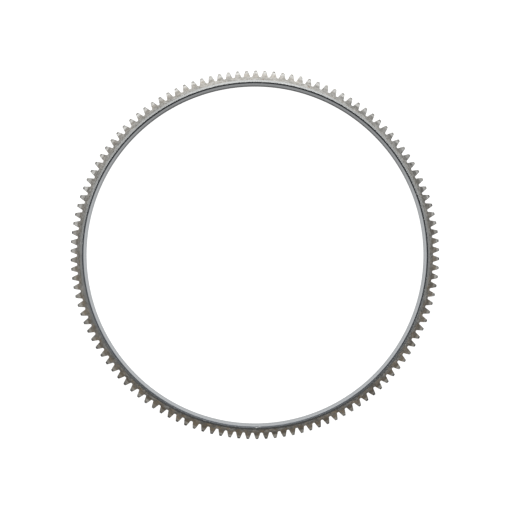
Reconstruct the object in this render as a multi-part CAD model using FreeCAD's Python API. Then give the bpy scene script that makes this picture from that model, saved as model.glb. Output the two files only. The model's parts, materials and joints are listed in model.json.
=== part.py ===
import FreeCAD, Part
import math
import os

# A flywheel ring gear: one steel ring with straight outside teeth, shrunk onto the rim of an
# engine's flywheel so that the starter's pinion can turn it. All lengths are in millimetres.
# The ring lies on its back face at z = 0 with its axis on +Z, its chamfered front face up
# and one tooth centred on +X. The origin is on the axis, in the plane of the back face.

# Teeth
module = 3.0
tooth_count = 126
pressure_angle = 20.0
addendum_in_modules = 1.0
dedendum_in_modules = 1.25
flank_thinning = 0.15
root_fillet = 1.1

# Ring
rim_depth = 6.5
face_width = 17.0

# Turned edges, at 45 degrees unless their depth is given too
front_bore_chamfer = 1.3
back_bore_chamfer = 1.0
front_tip_chamfer = 1.5
front_tip_chamfer_depth = 0.85
back_tip_chamfer = 0.6

# Turned land beside the bore on the front face, which rises a little towards the bore
land_width = 2.0
land_rise = 0.2

# Circles of the gear
pitch_radius = module * tooth_count / 2
tip_radius = pitch_radius + addendum_in_modules * module
root_radius = pitch_radius - dedendum_in_modules * module
base_radius = pitch_radius * math.cos(math.radians(pressure_angle))
bore_radius = root_radius - rim_depth
tooth_pitch_angle = 2 * math.pi / tooth_count

# Each fillet is cut in this many flats, and takes at most this share of the radius at which
# the two fillets of a gap would meet
fillet_flats = 3
fullest_fillet = 0.95

# How far the outline of the teeth and the turned section run past each other
overrun = 1.0


def polar(radius, angle):
    return FreeCAD.Vector(radius * math.cos(angle), radius * math.sin(angle), 0)


def turned(point, angle):
    return polar(point.Length, math.atan2(point.y, point.x) + angle)


def mirrored(point):
    return FreeCAD.Vector(point.x, -point.y, 0)


def edge_through(points):
    """A straight edge through two points, or an arc through three."""
    return (Part.LineSegment if len(points) == 2 else Part.Arc)(*points).toShape()


def involute(angle):
    return math.tan(angle) - angle


def tooth_half_angle(radius):
    """Half of the angle that one tooth fills at this radius, seen from the gear's axis."""
    at_pitch = tooth_pitch_angle / 4 - flank_thinning / (2 * pitch_radius)
    pressure_here = math.acos(min(1.0, base_radius / radius))
    return at_pitch + involute(math.radians(pressure_angle)) - involute(pressure_here)


def flank_point(radius):
    return polar(radius, tooth_half_angle(radius))


def full_round_fillet(flank_centre, flank_radius):
    """The fillet that touches the root circle in the middle of the gap, and the flank."""
    lean = polar(1, tooth_pitch_angle / 2).dot(flank_centre)
    reach = flank_radius**2 - flank_centre.Length**2 + root_radius * (2 * lean - root_radius)
    return reach / (2 * (root_radius - lean - flank_radius))


def fillet_centre_at(fillet, flank_centre, flank_radius):
    """Where a fillet touches both the root circle and the flank's arc from outside."""
    from_axis = root_radius + fillet
    from_flank_centre = flank_radius + fillet
    span = flank_centre.Length
    along = (from_axis**2 - from_flank_centre**2 + span**2) / (2 * span)
    across = math.sqrt(from_axis**2 - along**2)
    unit = flank_centre / span
    return unit * along + FreeCAD.Vector(-unit.y, unit.x, 0) * across


def upper_half_tooth():
    """The upper half of the tooth centred on +X: the points of its fillet, from the root
    circle to the flank, then the flank's middle and its tip. The flank is the arc through
    three points of the involute, and the fillet touches that arc and the root circle."""
    tip = flank_point(tip_radius)
    flank = edge_through([flank_point(root_radius), flank_point(pitch_radius), tip]).Curve
    fullest = fullest_fillet * full_round_fillet(flank.Center, flank.Radius)
    fillet = min(root_fillet, fullest)
    fillet_centre = fillet_centre_at(fillet, flank.Center, flank.Radius)
    root_end = fillet_centre * (root_radius / fillet_centre.Length)
    to_fillet = fillet_centre - flank.Center
    flank_end = flank.Center + to_fillet * (flank.Radius / to_fillet.Length)
    arm = root_end - fillet_centre
    sweep = arm.getAngle(flank_end - fillet_centre)
    steps = [sweep * flat / fillet_flats for flat in range(fillet_flats + 1)]
    halfway = (flank_end + tip) / 2 - flank.Center
    flank_middle = flank.Center + halfway * (flank.Radius / halfway.Length)
    return [fillet_centre + turned(arm, step) for step in steps], flank_middle, tip


def toothed_outline():
    """The closed outline of all teeth, tooth by tooth and anticlockwise. Each tooth is its
    lower fillet, flank and tip, then the upper flank and fillet, and the floor of the gap."""
    fillet, flank_middle, tip = upper_half_tooth()
    low_fillet = [mirrored(point) for point in fillet]
    low_middle, low_tip = mirrored(flank_middle), mirrored(tip)
    stretches = [
        *zip(low_fillet, low_fillet[1:]),
        (low_fillet[-1], low_middle, low_tip),
        (low_tip, polar(tip_radius, 0), tip),
        (tip, flank_middle, fillet[-1]),
        *zip(fillet[:0:-1], fillet[-2::-1]),
        (fillet[0], turned(low_fillet[0], tooth_pitch_angle)),
    ]
    edges = []
    for tooth in range(tooth_count):
        angle = tooth * tooth_pitch_angle
        edges += [edge_through([turned(p, angle) for p in stretch]) for stretch in stretches]
    return Part.Wire(edges)


def turned_ring():
    """The ring as it comes off the lathe, before its teeth are cut: the bore with its two
    chamfers, the land, both faces and the chamfered outside corners. The outside runs past
    the tips, so that its two cones cut the teeth."""
    ridge = face_width + land_rise
    tip_slope = front_tip_chamfer_depth / front_tip_chamfer
    section = [
        (bore_radius, back_bore_chamfer),
        (bore_radius, ridge - front_bore_chamfer),
        (bore_radius + front_bore_chamfer, ridge),
        (bore_radius + front_bore_chamfer + land_width, face_width),
        (tip_radius - front_tip_chamfer, face_width),
        (tip_radius + overrun, face_width - front_tip_chamfer_depth - tip_slope * overrun),
        (tip_radius + overrun, back_tip_chamfer + overrun),
        (tip_radius - back_tip_chamfer, 0),
        (bore_radius + back_bore_chamfer, 0),
    ]
    points = [FreeCAD.Vector(radius, 0, height) for radius, height in section]
    face = Part.Face(Part.makePolygon(points + points[:1]))
    return face.revolve(FreeCAD.Vector(0, 0, 0), FreeCAD.Vector(0, 0, 1), 360)


def ring_gear():
    """What the turned ring and the toothed prism have in common."""
    height = face_width + land_rise + 2 * overrun
    prism = Part.Face(toothed_outline()).extrude(FreeCAD.Vector(0, 0, height))
    prism.translate(FreeCAD.Vector(0, 0, -overrun))
    return turned_ring().common(prism).Solids[0]


os.makedirs("parts", exist_ok=True)
ring_gear().exportStep("parts/ring_gear.step")
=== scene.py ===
import json
import math
from collections import namedtuple

import bmesh
import bpy
from mathutils import Matrix, Vector


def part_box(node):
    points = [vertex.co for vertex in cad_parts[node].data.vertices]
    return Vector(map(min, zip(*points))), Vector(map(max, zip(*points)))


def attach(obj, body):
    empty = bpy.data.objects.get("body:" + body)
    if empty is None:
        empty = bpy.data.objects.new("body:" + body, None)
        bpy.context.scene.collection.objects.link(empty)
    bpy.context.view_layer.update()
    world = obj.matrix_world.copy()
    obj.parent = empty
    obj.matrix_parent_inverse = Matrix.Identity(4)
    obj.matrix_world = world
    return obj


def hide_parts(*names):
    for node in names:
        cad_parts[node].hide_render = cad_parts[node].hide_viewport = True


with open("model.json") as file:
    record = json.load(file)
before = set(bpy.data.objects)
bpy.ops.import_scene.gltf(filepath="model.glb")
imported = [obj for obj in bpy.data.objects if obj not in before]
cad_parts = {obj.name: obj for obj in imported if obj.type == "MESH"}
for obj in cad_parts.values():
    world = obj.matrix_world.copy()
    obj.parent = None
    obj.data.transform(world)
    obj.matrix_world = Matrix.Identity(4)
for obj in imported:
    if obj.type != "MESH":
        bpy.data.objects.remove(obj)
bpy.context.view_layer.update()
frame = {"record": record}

# A flywheel ring gear that lies on its back face, seen from above. Lengths are in metres.

MM = 0.001

# What the frame gives: the tip circle, the height over the turned ridge beside the bore, and
# the bore
node_low, node_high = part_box("ring_gear")
bore_mount = next(m for m in frame["record"]["mounts"] if m["name"] == "bore")
TIP_RADIUS = node_high[0]
RIDGE_HEIGHT = node_high[2]
BORE_RADIUS = bore_mount["dims"]["r_mm"] * MM

# The gear's own sizes
MODULE = 3.0 * MM
TOOTH_COUNT = 126
PRESSURE_ANGLE = math.radians(20)
FLANK_THINNING = 0.15 * MM
ROOT_FILLET = 1.1 * MM
FRONT_BORE_CHAMFER = 1.3 * MM
BACK_BORE_CHAMFER = 1.0 * MM
FRONT_TIP_CHAMFER = 1.5 * MM
FRONT_TIP_CHAMFER_DEPTH = 0.85 * MM
BACK_TIP_CHAMFER = 0.6 * MM
LAND_WIDTH = 2.0 * MM
LAND_RISE = 0.2 * MM

PITCH_RADIUS = MODULE * TOOTH_COUNT / 2
ROOT_RADIUS = PITCH_RADIUS - 1.25 * MODULE
BASE_RADIUS = PITCH_RADIUS * math.cos(PRESSURE_ANGLE)
FACE_HEIGHT = RIDGE_HEIGHT - LAND_RISE
RIDGE_RADIUS = BORE_RADIUS + FRONT_BORE_CHAMFER
LAND_RADIUS = RIDGE_RADIUS + LAND_WIDTH
FACET_RADIUS = TIP_RADIUS - FRONT_TIP_CHAMFER
TOOTH_PITCH = 2 * math.pi / TOOTH_COUNT

# The angle between a flank and the floor of the gap, before the fillet rounds it
ROOT_CORNER = math.radians(108)

# How finely the mesh is cut, and the small round that every edge of the ring has
STEPS_PER_TOOTH = 4
FLANK_ROWS = 4
FILLET_STEPS = 5
EDGE_ROUND = 0.14 * MM
EDGE_STEPS = 2
ROUNDED_EDGES = math.radians(35)
SHARP_EDGES = math.radians(25)
MERGE = 0.003 * MM
OVERRUN = 1.5 * MM

# The view: the camera looks down on the ring from a little left of and below its axis, with
# the image plane turned a little so that the right side lies further off
IMAGE_PIXELS = 510
FOCAL_PIXELS = 745.5
SENSOR_WIDTH = 36.0
CAMERA_HEIGHT = 776 * MM
CAMERA_ASIDE = Vector((-7 * MM, -6 * MM, 0))
IMAGE_TURN = math.radians(1.222)
IMAGE_YAW = math.radians(1.83)
AXIS_PIXEL = (1.34, 0.15)

# The light: a dim room with a large soft light above the far side of the ring and a pale
# horizon, and a floor that glows like a light table, so that it is white right up to the ring
KEY_LEAN = math.radians(40)
KEY_GLOW = 5.5
KEY_EDGES = (0.83, 1.0)
ROOM_GLOW = 0.16
HORIZON_GLOW = 0.85
HORIZON_HEIGHT = math.radians(9)
FLOOR_GLOW = 1.07
FLOOR_GREY = 0.1
FLOOR_SIZE = 6.0


# Working by hand

def deselect_all():
    if bpy.context.object and bpy.context.object.mode != "OBJECT":
        bpy.ops.object.mode_set(mode="OBJECT")
    bpy.ops.object.select_all(action="DESELECT")


def activate(piece):
    deselect_all()
    piece.select_set(True)
    bpy.context.view_layer.objects.active = piece


def edit(piece):
    activate(piece)
    bpy.ops.object.mode_set(mode="EDIT")
    bpy.ops.mesh.select_all(action="DESELECT")


def pick(piece, kind, wanted):
    """Selects the vertices or faces for which wanted(its middle, its normal) holds."""
    bpy.ops.mesh.select_mode(type=kind)
    bpy.ops.mesh.select_all(action="DESELECT")
    data = bmesh.from_edit_mesh(piece.data)
    if kind == "VERT":
        for vertex in data.verts:
            vertex.select_set(wanted(vertex.co, vertex.normal))
    else:
        for face in data.faces:
            face.select_set(wanted(face.calc_center_median(), face.normal))
    data.select_flush_mode()
    bmesh.update_edit_mesh(piece.data)


def near(point, x, y, z, within=0.02 * MM):
    return (point - Vector((x, y, z))).length < within


def tidy_faces():
    """Merges what meets, turns every face outwards and leaves edit mode."""
    bpy.ops.mesh.select_all(action="SELECT")
    bpy.ops.mesh.remove_doubles(threshold=MERGE)
    bpy.ops.mesh.normals_make_consistent(inside=False)
    bpy.ops.object.mode_set(mode="OBJECT")


def apply(piece, kind, **settings):
    """Adds a modifier with these settings and applies it."""
    activate(piece)
    modifier = piece.modifiers.new(kind.lower(), kind)
    for name, value in settings.items():
        setattr(modifier, name, value)
    bpy.ops.object.modifier_apply(modifier=modifier.name)


# The ring: turned, then hobbed

def involute(angle):
    return math.tan(angle) - angle


def tooth_half_angle(radius):
    """Half of the angle that one tooth fills at this radius, seen from the axis."""
    at_pitch = TOOTH_PITCH / 4 - FLANK_THINNING / (2 * PITCH_RADIUS)
    pressure_here = math.acos(min(1.0, BASE_RADIUS / radius))
    return at_pitch + involute(PRESSURE_ANGLE) - involute(pressure_here)


def turned_blank():
    """The stretch of the ring between the middles of two teeth, as it leaves the lathe. Its
    section has the four chamfers and the land, and is spun about the axis. The gap between
    the teeth will be centred on +X."""
    bpy.ops.mesh.primitive_plane_add(size=1, location=(0, 0, 0))
    blank = bpy.context.object
    blank.name = "ring_gear_steel"
    edit(blank)
    bpy.ops.mesh.select_all(action="SELECT")
    bpy.ops.transform.resize(value=(TIP_RADIUS - BORE_RADIUS, FACE_HEIGHT, 1))
    bpy.ops.transform.rotate(value=-math.pi / 2, orient_axis="X", center_override=(0, 0, 0))
    middle = (TIP_RADIUS + BORE_RADIUS) / 2
    bpy.ops.transform.translate(value=(middle, 0, FACE_HEIGHT / 2))
    for radius, height, chamfer in (
        (BORE_RADIUS, FACE_HEIGHT, FRONT_BORE_CHAMFER),
        (BORE_RADIUS, 0, BACK_BORE_CHAMFER),
        (TIP_RADIUS, FACE_HEIGHT, FRONT_TIP_CHAMFER),
        (TIP_RADIUS, 0, BACK_TIP_CHAMFER),
    ):
        pick(blank, "VERT", lambda point, normal: near(point, radius, 0, height))
        bpy.ops.mesh.bevel(affect="VERTICES", offset=chamfer, segments=1)
    facet_foot = FACE_HEIGHT - FRONT_TIP_CHAMFER
    pick(blank, "VERT", lambda point, normal: near(point, TIP_RADIUS, 0, facet_foot))
    bpy.ops.transform.translate(value=(0, 0, FRONT_TIP_CHAMFER - FRONT_TIP_CHAMFER_DEPTH))
    bpy.ops.mesh.select_all(action="SELECT")
    bpy.ops.mesh.bisect(plane_co=(LAND_RADIUS, 0, 0), plane_no=(1, 0, 0))
    pick(blank, "VERT", lambda point, normal: point.x < LAND_RADIUS - MERGE
         and point.z > FACE_HEIGHT / 2)
    bpy.ops.transform.translate(value=(0, 0, LAND_RISE))
    bpy.ops.mesh.select_all(action="SELECT")
    bpy.ops.transform.rotate(value=-TOOTH_PITCH / 2, orient_axis="Z", center_override=(0, 0, 0))
    bpy.ops.mesh.spin(steps=STEPS_PER_TOOTH, angle=TOOTH_PITCH, center=(0, 0, 0), axis=(0, 0, 1))
    tidy_faces()
    return blank


def hob_cut():
    """What the hob takes out between two teeth: a strip as wide at each radius as the gap,
    with both root corners rounded, drawn through the whole width of the ring."""
    length = TIP_RADIUS + OVERRUN - ROOT_RADIUS
    strip_width = 2 * MM
    bpy.ops.mesh.primitive_grid_add(x_subdivisions=FLANK_ROWS, y_subdivisions=2, size=1,
                                    location=(0, 0, 0))
    cut = bpy.context.object
    cut.name = "hob_cut"
    edit(cut)
    bpy.ops.mesh.select_all(action="SELECT")
    bpy.ops.transform.resize(value=(length, strip_width, 1))
    bpy.ops.transform.translate(value=(ROOT_RADIUS + length / 2, 0, -OVERRUN))
    for row in range(FLANK_ROWS + 1):
        radius = ROOT_RADIUS + length * row / FLANK_ROWS
        half_angle = TOOTH_PITCH / 2 - tooth_half_angle(radius)
        for side in (-1, 1):
            pick(cut, "VERT", lambda point, normal: abs(point.x - radius) < MERGE
                 and point.y * side > strip_width / 4)
            start = Vector((radius, side * strip_width / 2, 0))
            place = Vector((radius * math.cos(half_angle), side * radius * math.sin(half_angle), 0))
            bpy.ops.transform.translate(value=place - start)
    half_angle = TOOTH_PITCH / 2 - tooth_half_angle(ROOT_RADIUS)
    corner_x = ROOT_RADIUS * math.cos(half_angle)
    corner_y = ROOT_RADIUS * math.sin(half_angle)
    pick(cut, "VERT", lambda point, normal: near(point, corner_x, corner_y, -OVERRUN)
         or near(point, corner_x, -corner_y, -OVERRUN))
    bpy.ops.mesh.bevel(affect="VERTICES", offset=ROOT_FILLET / math.tan(ROOT_CORNER / 2),
                       segments=FILLET_STEPS)
    bpy.ops.mesh.select_all(action="SELECT")
    bpy.ops.mesh.extrude_region_move(
        TRANSFORM_OT_translate={"value": (0, 0, RIDGE_HEIGHT + 2 * OVERRUN)})
    tidy_faces()
    return cut


def ring_gear():
    """One gap is cut from the blank, the stretch is repeated round the axis and its ends are
    joined, and every edge gets its small round."""
    ring = turned_blank()
    cut = hob_cut()
    apply(ring, "BOOLEAN", operation="DIFFERENCE", solver="EXACT", object=cut)
    bpy.data.objects.remove(cut)
    edit(ring)
    # The flat ends of the stretch go, so that its copies join into one skin
    for side in (-1, 1):
        end = Matrix.Rotation(side * TOOTH_PITCH / 2, 3, "Z") @ Vector((0, side, 0))
        pick(ring, "FACE", lambda middle, normal: abs(middle.dot(end)) < MERGE
             and normal.dot(end) > 0.999)
        bpy.ops.mesh.delete(type="FACE")
    bpy.ops.mesh.select_all(action="SELECT")
    bpy.ops.transform.rotate(value=TOOTH_PITCH / 2, orient_axis="Z", center_override=(0, 0, 0))
    bpy.ops.mesh.spin(steps=TOOTH_COUNT - 1, angle=2 * math.pi - TOOTH_PITCH, dupli=True,
                      center=(0, 0, 0), axis=(0, 0, 1))
    tidy_faces()
    apply(ring, "BEVEL", width=EDGE_ROUND, segments=EDGE_STEPS, limit_method="ANGLE",
          angle_limit=ROUNDED_EDGES)
    edit(ring)
    pick(ring, "VERT", lambda point, normal: abs(point.xy.length - LAND_RADIUS) < MERGE
         and point.z > FACE_HEIGHT / 2)
    bpy.ops.mesh.mark_sharp()
    activate(ring)
    bpy.ops.object.shade_smooth_by_angle(angle=SHARP_EDGES)
    apply(ring, "WEIGHTED_NORMAL", keep_sharp=True, weight=100)
    return ring


# Finishes as expressions

class Value:
    """A number that changes over a surface. Sums and products of values add Math nodes."""

    def __init__(self, nodes, socket):
        self.nodes = nodes
        self.socket = socket

    def of(self, output):
        """Another output of the same node."""
        return Value(self.nodes, self.socket.node.outputs[output])

    def math(self, operation, *others):
        return self.nodes.add("ShaderNodeMath", {"operation": operation},
                              dict(enumerate((self, *others))))

    def __add__(self, other):
        return self.math("ADD", other)

    def __radd__(self, other):
        return self.math("ADD", other)

    def __sub__(self, other):
        return self.math("SUBTRACT", other)

    def __rsub__(self, other):
        return self.nodes.add("ShaderNodeMath", {"operation": "SUBTRACT"}, {0: other, 1: self})

    def __mul__(self, other):
        return self.math("MULTIPLY", other)

    def __rmul__(self, other):
        return self.math("MULTIPLY", other)

    def __truediv__(self, other):
        return self.math("DIVIDE", other)

    def __pow__(self, other):
        return self.math("POWER", other)

    def __abs__(self):
        return self.math("ABSOLUTE")

    def smooth(self, low, high):
        """Rises smoothly from 0 at low to 1 at high, or falls where low is above high."""
        return self.nodes.add("ShaderNodeMapRange", {"interpolation_type": "SMOOTHSTEP"},
                              {"Value": self, "From Min": low, "From Max": high})

    def sine(self, length):
        """A wave between -1 and 1 with this length."""
        return (self * (2 * math.pi / length)).math("SINE")


class Nodes:
    """The nodes of one material or of the world."""

    def __init__(self, owner):
        owner.use_nodes = True
        self.tree = owner.node_tree

    def add(self, kind, settings=None, sockets=None, output=0):
        """A new node: its settings are set first, then its sockets. Gives one output."""
        node = self.tree.nodes.new(kind)
        for name, value in (settings or {}).items():
            setattr(node, name, value)
        self.fill(node, sockets or {})
        return Value(self, node.outputs[output])

    def fill(self, node, sockets):
        for name, value in sockets.items():
            if isinstance(value, Value):
                self.tree.links.new(value.socket, node.inputs[name])
            else:
                node.inputs[name].default_value = value

    def blend(self, share, under, over):
        """A colour between two."""
        return self.add("ShaderNodeMix", {"data_type": "RGBA"}, {0: share, 6: under, 7: over},
                        output=2)

    def shade(self, colour, value):
        """A colour made darker or lighter by a value."""
        return self.add("ShaderNodeMix", {"data_type": "RGBA", "blend_type": "MULTIPLY"},
                        {0: 1.0, 6: colour, 7: value}, output=2)


# The ring's finishes. All lengths in them are in millimetres.

Finish = namedtuple("Finish", "colour roughness relief")

# The single marks that the ring has: the angle in degrees, the radius, and the half length
# round the ring and half width across it
NICKS = (
    (-88.75, 179.9, 0.9, 0.5),
    (-88.2, 179.5, 0.4, 0.4),
    (-87.85, 179.0, 0.35, 0.4),
    (-87.5, 179.3, 0.3, 0.3),
    (22.1, 179.4, 0.4, 0.8),
)
SCRATCHES = (
    (13.2, 179.5, 0.45, 0.8),
    (-10.4, 180.3, 0.4, 0.7),
    (168.3, 179.4, 0.5, 0.7),
    (89.4, 179.3, 0.6, 0.5),
    (23.2, 184.6, 2.4, 0.3),
    (163.7, 182.4, 2.8, 0.35),
    (-52.0, 183.8, 1.8, 0.25),
)
RUST_SPECKS = (
    (89.0, 182.6, 0.6, 0.6),
    (73.9, 183.6, 0.8, 0.6),
    (-86.6, 184.4, 0.9, 0.7),
)

BORE = BORE_RADIUS / MM
RIDGE = RIDGE_RADIUS / MM
LAND = LAND_RADIUS / MM
ROOT = ROOT_RADIUS / MM
FACET = FACET_RADIUS / MM
TIP = TIP_RADIUS / MM
FACE = FACE_HEIGHT / MM
WIDTH = RIDGE_HEIGHT / MM
BACK_RIDGE = BORE + BACK_BORE_CHAMFER / MM
BACK_CHAMFER_TOP = BACK_BORE_CHAMFER / MM
BACK_FACET = TIP - BACK_TIP_CHAMFER / MM
FACET_FOOT = FACE - FRONT_TIP_CHAMFER_DEPTH / MM
BACK_FACET_TOP = BACK_TIP_CHAMFER / MM

# How far apart the noises of two seeds lie, and how rough every noise is
SEED_STEP = 7.31
NOISE_ROUGHNESS = 0.55


class Spot:
    """Where a point of the ring lies: its radius, its height, its side of the ring, and how far
    aside it is from the middle of its tooth. The three chances differ from tooth to tooth. The
    outline is 1 along the edges of a tooth's face and fades inwards. The painted far light and
    shade is a painted highlight that makes the middle of the far side lighter, and a painted
    shade that makes the place left of it darker."""

    def __init__(self, nodes):
        self.nodes = nodes
        self.place = nodes.add("ShaderNodeTexCoord", output="Object")
        x = nodes.add("ShaderNodeSeparateXYZ", sockets={0: self.place})
        y = x.of("Y")
        reach = (x * x + y * y) ** 0.5
        self.radius = reach / MM
        self.height = x.of("Z") / MM
        self.east = x / reach
        self.north = y / reach
        turn = y.math("ARCTAN2", x) / TOOTH_PITCH
        tooth = turn.math("ROUND")
        self.aside = (turn - tooth) * self.radius * TOOTH_PITCH
        number = (tooth + TOOTH_COUNT).math("MODULO", TOOTH_COUNT)
        chance = nodes.add("ShaderNodeTexWhiteNoise", {"noise_dimensions": "1D"},
                           {"W": number + 0.5}, output="Color")
        self.chance = nodes.add("ShaderNodeSeparateColor", sockets={0: chance})
        self.chance_too = self.chance.of("Green")
        self.chance_three = self.chance.of("Blue")
        in_from_flank = self.half_tooth() - abs(self.aside)
        self.outline = in_from_flank.smooth(0.85, 0.0) * self.radius.smooth(ROOT - 0.2, ROOT + 0.8)
        self.on_face = self.height.smooth(FACE - 0.25, FACE - 0.12) + self.height.smooth(0.25, 0.12)
        self.near_front = self.height.smooth(WIDTH - 3.0, WIDTH - 2.0)
        self.south_side = self.towards(-90, -0.5, 0.9)
        # Painted highlight on the middle of the far side and painted shade left of it
        self.painted_far_light_and_shade = 0.09 * self.towards(90, 0.85, 1.0) - 0.1 * self.towards(135, 0.93, 1.0)

    def facing(self, angle):
        """1 on the side of the ring at this angle, and -1 on the opposite side."""
        cos = math.cos(math.radians(angle))
        sin = math.sin(math.radians(angle))
        return self.east * cos + self.north * sin

    def towards(self, angle, low, high):
        """Rises from 0 to 1 towards the side of the ring at this angle."""
        return self.facing(angle).smooth(low, high)

    def half_tooth(self):
        """Half of the tooth's thickness at this radius: a parabola through three radii."""
        low, middle, high = (r * tooth_half_angle(r * MM) for r in (ROOT, (ROOT + TIP) / 2, TIP))
        step = (TIP - ROOT) / 2
        slope = (high - low) / (2 * step)
        bend = (high + low - 2 * middle) / (2 * step ** 2)
        out = self.radius - (ROOT + TIP) / 2
        return out * out * bend + out * slope + middle

    def grain(self, along, across, seed, detail=3.0):
        """Noise in grains of this length round the ring and this width across its section."""
        turns = PITCH_RADIUS / MM / along
        vector = self.nodes.add("ShaderNodeCombineXYZ", sockets={
            0: self.east * turns,
            1: self.north * turns,
            2: (self.radius + self.height) / across + seed * SEED_STEP,
        })
        return self.nodes.add("ShaderNodeTexNoise", sockets={
            "Vector": vector, "Scale": 1.0, "Detail": detail, "Roughness": NOISE_ROUGHNESS})

    def lump(self, size, seed):
        """Noise in lumps of this size, alike in every direction."""
        return self.nodes.add("ShaderNodeTexNoise", {"noise_dimensions": "4D"}, {
            "Vector": self.place, "W": seed * SEED_STEP, "Scale": 1 / (size * MM), "Detail": 3.0,
            "Roughness": NOISE_ROUGHNESS})

    def marks(self, places):
        """1 in the ragged ovals at these places of the front, and 0 all round them."""
        ragged = self.lump(0.5, 30) * 2.6 - 1.3
        share = 0.0
        for angle, radius, half_length, half_width in places:
            along = self.facing(angle + 90) * self.radius / half_length
            across = (self.facing(angle) * self.radius - radius) / half_width
            share = share + (along * along + across * across + ragged).smooth(1.3, 0.5)
        return share * self.height.smooth(WIDTH - 2.5, WIDTH - 1.8)


def rgb(red, green, blue):
    return (red, green, blue, 1.0)


def hobbed(nodes, spot):
    """The flanks and the floors of the gaps: feed marks along the tooth and the flats of the
    hob's cuts across it, browned at the root."""
    feed = spot.height.sine(1.9) * 0.5 + spot.height.sine(0.37) * 0.12 + spot.radius.sine(0.9) * 0.3
    patch = spot.lump(3.0, 1).smooth(0.35, 0.65)
    brown = spot.radius.smooth(ROOT + 4.5, ROOT + 0.5) * (0.35 + 0.5 * spot.lump(1.6, 2))
    colour = nodes.blend(patch, rgb(0.33, 0.32, 0.30), rgb(0.42, 0.405, 0.38))
    colour = nodes.blend(brown, colour, rgb(0.21, 0.17, 0.13))
    colour = nodes.shade(colour, 0.75 + 0.5 * spot.lump(0.7, 21) + 0.04 * feed)
    return Finish(colour, 0.34 + 0.14 * patch + 0.05 * feed, 0.012 * feed)


def turned_tip(nodes, spot):
    """The outside of each tooth: turned before the hob came, with a line to each feed."""
    line = spot.grain(70.0, 0.28, 22)
    share = (spot.radius - TIP).smooth(-0.16, -0.06)
    colour = nodes.blend(line, rgb(0.27, 0.26, 0.245), rgb(0.41, 0.40, 0.38))
    colour = nodes.blend(spot.lump(2.2, 23).smooth(0.56, 0.68) * 0.5, colour, rgb(0.23, 0.18, 0.135))
    colour = nodes.shade(colour, 0.85 + 0.3 * spot.chance_too)
    return share, Finish(colour, 0.36 + 0.14 * line, 0.012 * line)


def scaled(nodes, spot):
    """The faces: mottled grey scale with brown patches, more of them on one side."""
    cloud = spot.grain(9.0, 5.0, 24).smooth(0.3, 0.7)
    patch = spot.grain(3.2, 1.7, 3).smooth(0.36, 0.64)
    fine = spot.grain(1.0, 0.8, 4)
    streak = spot.grain(14.0, 0.6, 5).smooth(0.45, 0.7)
    brown = spot.grain(6.5, 2.6, 6).smooth(0.36, 0.7) * (0.10 + 0.75 * spot.south_side)
    colour = nodes.blend(patch, rgb(0.205, 0.202, 0.189), rgb(0.335, 0.332, 0.318))
    colour = nodes.blend(streak * 0.45, colour, rgb(0.37, 0.365, 0.35))
    colour = nodes.blend(brown, colour, rgb(0.33, 0.262, 0.182))
    # Painted light: lighter towards the near side and most at the bottom, plus the painted far light
    # and shade; the cloud and fine grain are the scale's own tone
    colour = nodes.shade(colour, 0.4 + 0.24 * cloud + 1.0 * fine + 0.15 * spot.south_side
                         + 0.08 * spot.towards(-90, 0.7, 1.0) + spot.painted_far_light_and_shade)
    # Painted shade: darker on the right, from just inside the roots outwards
    painted_right_shade = spot.towards(25, 0.5, 0.95) * spot.radius.smooth(ROOT - 3.0, ROOT)
    colour = nodes.shade(colour, 1.0 - 0.2 * spot.outline - 0.3 * painted_right_shade)
    return spot.on_face, Finish(colour, 0.32 + 0.08 * patch + 0.08 * fine,
                                0.014 * fine + 0.012 * patch)


def tempered(nodes, spot):
    """The lower part of each tooth, tinted brown and a little blue by the hardening."""
    blotch = spot.grain(2.0, 1.8, 7)
    colour = nodes.blend(blotch.smooth(0.42, 0.7), rgb(0.335, 0.275, 0.20), rgb(0.215, 0.212, 0.21))
    # Painted light: lighter towards the near side; the grain and the chance are the steel's own tone
    colour = nodes.shade(colour, 1.3 * spot.grain(1.1, 1.0, 8) + 0.75 * spot.chance - 0.1
                         + 0.18 * spot.south_side)
    colour = nodes.shade(colour, 1.0 - 0.25 * spot.outline)
    tint = 0.2 + 0.7 * spot.south_side - 0.2 * spot.towards(45, 0.7, 1.0)
    share = spot.radius.smooth(ROOT - 1.8, ROOT + 0.8) * tint
    return share * spot.on_face, Finish(colour, 0.36 + 0.1 * blotch, 0.012 * blotch)


def rubbed(nodes, spot):
    """The upper part of each tooth, worn to lighter steel, some teeth more than others."""
    start = ROOT + 2.4 + 1.1 * spot.chance - 1.1 * spot.towards(200, 0.5, 0.9)
    share = (spot.radius - start).smooth(-0.7, 0.9) * (0.45 + 0.55 * spot.chance_too)
    colour = nodes.blend(spot.south_side, rgb(0.515, 0.51, 0.492), rgb(0.525, 0.50, 0.445))
    colour = nodes.shade(colour, 0.86 + 0.32 * spot.grain(1.4, 1.2, 9).smooth(0.3, 0.7))
    # Painted shade: the worn upper teeth are darker on the right, towards the bottom, and at the far
    # right and near left
    painted_tooth_shade = (0.16 * spot.towards(0, -0.2, 0.8) + 0.12 * spot.towards(-90, 0.0, 0.8)
                 + 0.08 * (spot.towards(45, 0.7, 1.0) + spot.towards(-135, 0.7, 1.0)))
    dark_ends = 0.25 * spot.towards(-140, 0.75, 0.95) * (spot.radius - FACET).smooth(-1.6, -0.4)
    colour = nodes.shade(colour, 1.08 - 0.5 * spot.outline - painted_tooth_shade - dark_ends)
    return share * spot.on_face, Finish(colour, 0.48 + 0.08 * spot.chance_three,
                                        0.006 * spot.grain(0.6, 0.6, 10))


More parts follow.
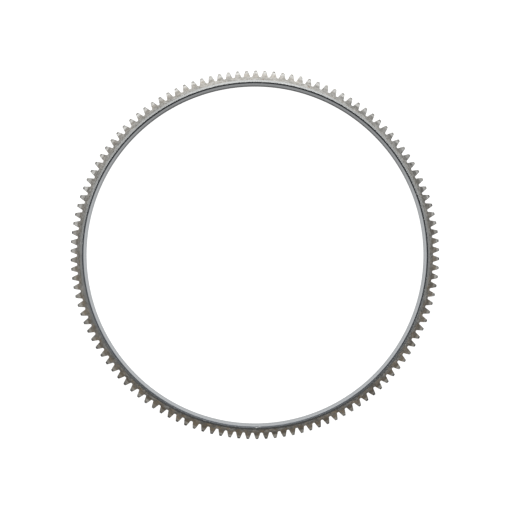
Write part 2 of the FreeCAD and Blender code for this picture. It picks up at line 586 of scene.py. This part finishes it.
def facet(nodes, spot):
    """The chamfered ends of the teeth: dark on most and bright on some, with a painted highlight on
    the far side and on the right.
    """
    above_foot = spot.height.smooth(FACET_FOOT - 0.2, FACET_FOOT - 0.05)
    front = (spot.radius - FACET).smooth(-0.06, 0.06) * above_foot
    below_top = spot.height.smooth(BACK_FACET_TOP + 0.15, BACK_FACET_TOP)
    back = (spot.radius - BACK_FACET).smooth(-0.06, 0.06) * below_top
    by_chance = spot.chance_three.smooth(0.35, 0.9)
    # Painted highlight on the facets of the far side and of the right side
    painted_side_highlight = 0.6 * spot.towards(90, 0.0, 0.9) + 0.3 * spot.towards(0, 0.6, 1.0)
    bright = by_chance + (1.0 - by_chance) * painted_side_highlight
    colour = nodes.blend(bright, rgb(0.16, 0.155, 0.147), rgb(0.41, 0.40, 0.37))
    colour = nodes.shade(colour, 0.8 + 0.4 * spot.grain(1.2, 0.9, 18))
    return front + back, Finish(colour, 0.50 + 0.1 * spot.chance, 0.008 * spot.grain(8.0, 0.4, 11))


def turned_land(nodes, spot):
    """The narrow land that was turned beside the bore: fine rings left by the tool."""
    line = spot.grain(90.0, 0.16, 12)
    share = (spot.radius - LAND).smooth(0.05, -0.05) * spot.near_front
    colour = nodes.blend(line, rgb(0.24, 0.245, 0.242), rgb(0.34, 0.345, 0.34))
    # Painted shade towards the near side, painted sheen on the left and right sides, most on the
    # left, the painted far light and shade, and painted shade at the far right
    painted_side_shade = spot.towards(-90, 0.1, 1.0)
    painted_side_sheen = abs(spot.east).smooth(0.3, 1.0) + spot.towards(180, 0.3, 1.0) * 0.3
    colour = nodes.shade(colour, 0.77 + 0.4 * spot.grain(5.0, 1.2, 13) - 0.3 * painted_side_shade + 0.2 * painted_side_sheen
                         + spot.painted_far_light_and_shade - 0.1 * spot.towards(45, 0.9, 1.0))
    return share, Finish(colour, 0.44 + 0.1 * line, 0.008 * line)


def turned_chamfer(nodes, spot):
    """The bore's chamfers: dark, smooth and a little blue."""
    line = spot.grain(60.0, 0.12, 14)
    front = (spot.radius - RIDGE).smooth(0.02, -0.06) * spot.near_front
    near_back = spot.height.smooth(BACK_CHAMFER_TOP + 0.6, BACK_CHAMFER_TOP + 0.2)
    back = (spot.radius - BACK_RIDGE).smooth(0.02, -0.06) * near_back
    colour = nodes.blend(line, rgb(0.075, 0.083, 0.092), rgb(0.12, 0.129, 0.142))
    # Painted light: the chamfers are lighter over the near half and on the left
    painted_side_light = spot.towards(-90, -0.3, 0.5) + spot.towards(180, 0.6, 1.0)
    colour = nodes.shade(colour, 0.5 + 0.6 * spot.grain(4.0, 1.0, 15) + 0.43 * painted_side_light)
    return front + back, Finish(colour, 0.42 + 0.1 * line, 0.004 * line)


def turned_bore(nodes, spot):
    """The bore: bright turned steel with fine rings, with painted shade towards the back and a
    painted shadow on the far side, darkest on its lower part, which is also duller."""
    line = spot.grain(110.0, 0.22, 16)
    band = spot.grain(200.0, 1.6, 17).smooth(0.3, 0.7)
    share = (spot.radius - BORE).smooth(0.14, 0.02)
    # Painted shade: darker towards the back
    back = spot.height.smooth(9.5, 6.0)
    far_side = spot.towards(90, 0.1, 0.9)
    lower_part = spot.height.smooth(9.0, 4.0)
    # Painted shadow on the far side, darkest on its lower part
    painted_side_shade = far_side * (0.57 + 0.23 * lower_part)
    colour = nodes.blend(line, rgb(0.275, 0.291, 0.305), rgb(0.375, 0.393, 0.407))
    colour = nodes.shade(colour, 0.97 + 0.12 * band - 0.12 * back - painted_side_shade)
    return share, Finish(colour, 0.36 + 0.12 * line + 0.13 * far_side * lower_part, 0.006 * line)


def dinged(nodes, spot):
    """Bare steel: the single nicks and scratches, and the dings along the ridge."""
    on_ridge = abs(spot.radius - RIDGE).smooth(0.5, 0.2) * spot.height.smooth(WIDTH - 1, WIDTH - 0.6)
    dings = on_ridge * spot.grain(1.6, 1.2, 19, detail=1.0).smooth(0.66, 0.72)
    nicks = spot.marks(NICKS)
    share = nicks * 0.9 + spot.marks(SCRATCHES) * 0.55 + dings * 0.7
    return share.math("MINIMUM", 1.0), Finish(rgb(0.56, 0.56, 0.545), 0.42, -0.05 * nicks)


def rusted(nodes, spot):
    """Single specks of rust on the face."""
    colour = nodes.blend(spot.grain(0.7, 0.7, 20), rgb(0.16, 0.085, 0.04), rgb(0.30, 0.17, 0.085))
    return spot.marks(RUST_SPECKS) * 0.75, Finish(colour, 0.6, 0.01)


def ring_steel():
    """One steel with a finish for each part of the ring, laid over each other in turn."""
    steel = bpy.data.materials.new("ring_steel")
    nodes = Nodes(steel)
    spot = Spot(nodes)
    look = hobbed(nodes, spot)
    for laid_over in (turned_tip, scaled, tempered, rubbed, facet, turned_land, turned_chamfer,
                      turned_bore, dinged, rusted):
        share, finish = laid_over(nodes, spot)
        look = Finish(
            nodes.blend(share, look.colour, finish.colour),
            look.roughness + share * (finish.roughness - look.roughness),
            look.relief + share * (finish.relief - look.relief),
        )
    normal = nodes.add("ShaderNodeBump", sockets={
        "Strength": 1.0, "Distance": MM, "Height": look.relief})
    nodes.fill(nodes.tree.nodes["Principled BSDF"], {
        "Base Color": look.colour,
        "Metallic": 1.0,
        "Roughness": look.roughness,
        "Normal": normal,
    })
    return steel


# The studio

def floor():
    bpy.ops.mesh.primitive_plane_add(size=FLOOR_SIZE, location=(0, 0, 0))
    plane = bpy.context.object
    plane.name = "studio_floor"
    material = bpy.data.materials.new("pale_floor")
    nodes = Nodes(material)
    nodes.fill(nodes.tree.nodes["Principled BSDF"], {
        "Base Color": rgb(FLOOR_GREY, FLOOR_GREY, FLOOR_GREY),
        "Roughness": 0.8,
        "Specular IOR Level": 0.2,
        "Emission Color": rgb(1, 1, 1),
        "Emission Strength": FLOOR_GLOW,
    })
    plane.data.materials.append(material)


def room_light():
    """Soft light from all sides, much stronger from above the far side of the ring. The room
    is pale down at the horizon, where the floor ends."""
    world = bpy.data.worlds.new("studio")
    bpy.context.scene.world = world
    nodes = Nodes(world)
    direction = nodes.add("ShaderNodeTexCoord", output="Generated")
    key = (0, math.sin(KEY_LEAN), math.cos(KEY_LEAN))
    towards_key = nodes.add("ShaderNodeVectorMath", {"operation": "DOT_PRODUCT"},
                            {0: direction, 1: key}, output="Value")
    rise = nodes.add("ShaderNodeSeparateXYZ", sockets={0: direction}, output="Z")
    glow = ROOM_GLOW + KEY_GLOW * towards_key.smooth(*KEY_EDGES)
    glow = glow + HORIZON_GLOW * rise.smooth(math.sin(HORIZON_HEIGHT), 0.0)
    nodes.fill(nodes.tree.nodes["Background"], {"Color": rgb(1, 1, 1), "Strength": glow})


def camera():
    """The photograph's view. The shift brings the ring back to the middle of the frame."""
    right = Vector((math.cos(IMAGE_TURN), math.sin(IMAGE_TURN), 0))
    up = Vector((-math.sin(IMAGE_TURN), math.cos(IMAGE_TURN), 0))
    out = Vector((0, 0, 1))
    image_right = right * math.cos(IMAGE_YAW) + out * math.sin(IMAGE_YAW)
    back = out * math.cos(IMAGE_YAW) - right * math.sin(IMAGE_YAW)
    place = right * CAMERA_ASIDE.x + up * CAMERA_ASIDE.y + out * (CAMERA_HEIGHT + FACE_HEIGHT)
    lens = bpy.data.cameras.new("view")
    lens.sensor_width = SENSOR_WIDTH
    lens.lens = FOCAL_PIXELS / IMAGE_PIXELS * SENSOR_WIDTH
    to_ring = Vector((0, 0, FACE_HEIGHT)) - place
    depth = -to_ring.dot(back)
    lens.shift_x = (FOCAL_PIXELS * to_ring.dot(image_right) / depth - AXIS_PIXEL[0]) / IMAGE_PIXELS
    lens.shift_y = (FOCAL_PIXELS * to_ring.dot(up) / depth - AXIS_PIXEL[1]) / IMAGE_PIXELS
    view = bpy.data.objects.new("view", lens)
    bpy.context.collection.objects.link(view)
    view.matrix_world = Matrix((
        (image_right.x, up.x, back.x, place.x),
        (image_right.y, up.y, back.y, place.y),
        (image_right.z, up.z, back.z, place.z),
        (0, 0, 0, 1),
    ))
    bpy.context.scene.camera = view


camera()
deselect_all()
ring = ring_gear()
ring.data.materials.append(ring_steel())
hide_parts("ring_gear")
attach(ring, "root")
floor()
room_light()
bpy.context.scene.view_settings.view_transform = "Standard"
